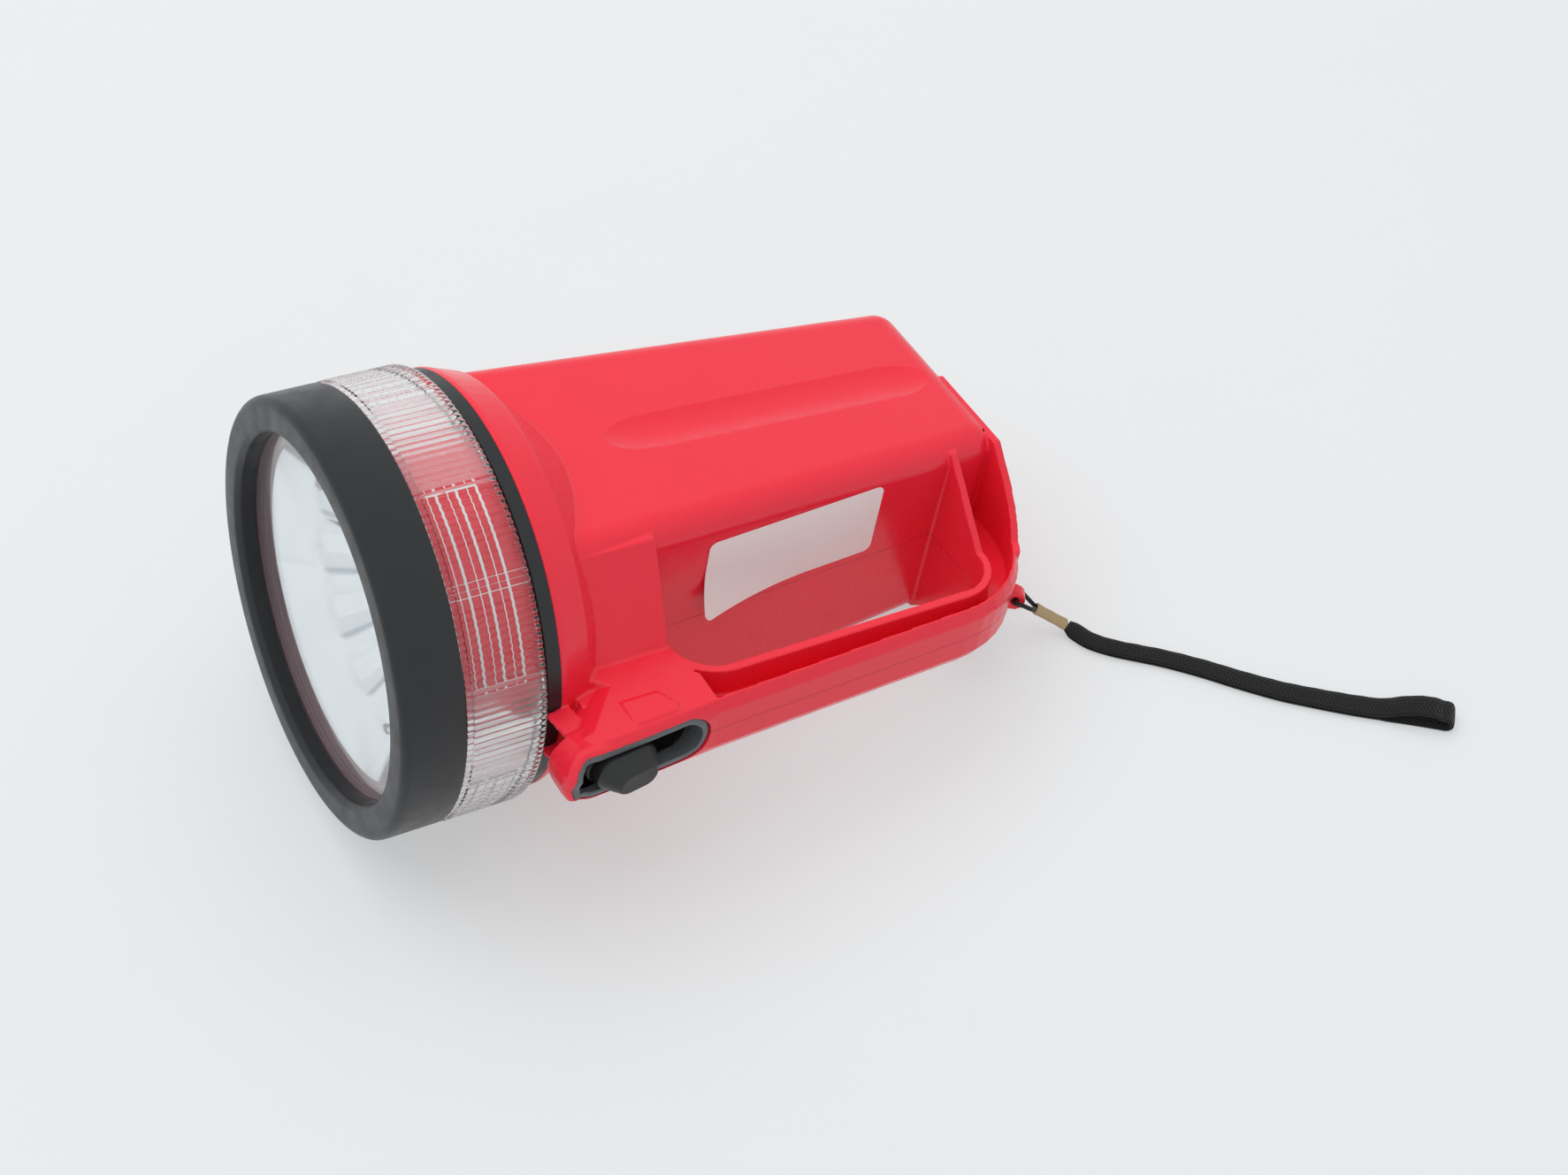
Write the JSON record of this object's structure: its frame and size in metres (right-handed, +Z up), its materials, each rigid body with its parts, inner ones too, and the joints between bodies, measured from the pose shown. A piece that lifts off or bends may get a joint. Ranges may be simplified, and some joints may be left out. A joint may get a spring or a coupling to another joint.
{
  "type": "flashlight",
  "caption": "Hand lantern with a loop grip, clear ribbed screw-on lens cup in a rubber bezel, faceted reflector, sliding switch on the grip and a wrist strap.",
  "frame": {"origin": "on the floor under the centre of the lantern's box, with the lantern lying on its side", "axes": "+X towards the rear of the lantern, -Y towards the grip, +Z up through the upper flank; the light axis leans so that the lens looks along -X and a little up"},
  "size_m": [0.2914, 0.2034, 0.1251],
  "materials": {
    "red_plastic": "moulded, satin gloss",
    "clear_plastic": "clear moulded",
    "black_rubber": "satin rubber",
    "grey_plastic": "fine matt",
    "black_plastic": "satin",
    "mirror_coat": "metallised",
    "contact_brass": "bright",
    "spring_steel": "bright wire",
    "board": "hard paper",
    "cell_can": "printed sleeve, plain",
    "bulb_glass": "clear",
    "strap_fabric": "woven",
    "ferrule_metal": "dull plated"
  },
  "bodies": {
    "root": {"body_shell": "red_plastic", "neck_gasket": "black_rubber", "switch_bezel": "grey_plastic", "switch_base": "board", "switch_contacts": "contact_brass", "lead_strips": "contact_brass", "front_contact_board": "board", "board_screws": "spring_steel", "front_bridge_strips": "contact_brass", "lamp_spring": "spring_steel", "battery_1": "cell_can", "battery_2": "cell_can", "battery_3": "cell_can", "battery_4": "cell_can", "rear_springs": "spring_steel", "rear_bridge_strips": "contact_brass", "rear_contact_board": "board", "strap_cord": "strap_fabric", "strap_ferrule": "ferrule_metal", "strap_band": "strap_fabric"},
    "lamp_carrier": {"reflector": "mirror_coat", "bulb_glass": "bulb_glass", "bulb_base": "contact_brass", "bulb_filament": "spring_steel", "bulb_holder": "black_plastic"},
    "head_ring": {"lens_cup": "clear_plastic", "bezel_ring": "black_rubber", "lens_seal": "black_rubber"},
    "switch_slider": {"switch_knob": "black_plastic", "slider_contact": "contact_brass"}
  },
  "joints": [
    {"name": "lamp_lift", "type": "slide", "parent": "root", "child": "lamp_carrier", "axis": [-0.9821, 0, 0.1881], "range_m": [0, 0.0061]},
    {"name": "head_screw", "type": "hinge", "parent": "lamp_carrier", "child": "head_ring", "pos_m": [-0.09237, 0.01088, 0.06654], "axis": [-0.9821, 0, 0.1881], "range_deg": [0, 540]},
    {"name": "switch_slide", "type": "slide", "parent": "root", "child": "switch_slider", "axis": [0.9703, 0.1547, -0.1859], "range_m": [0, 0.008]}
  ],
  "couplings": [
    {"joint": "lamp_lift", "follows": "head_screw", "m_per_rad": 0.00063662}
  ]
}
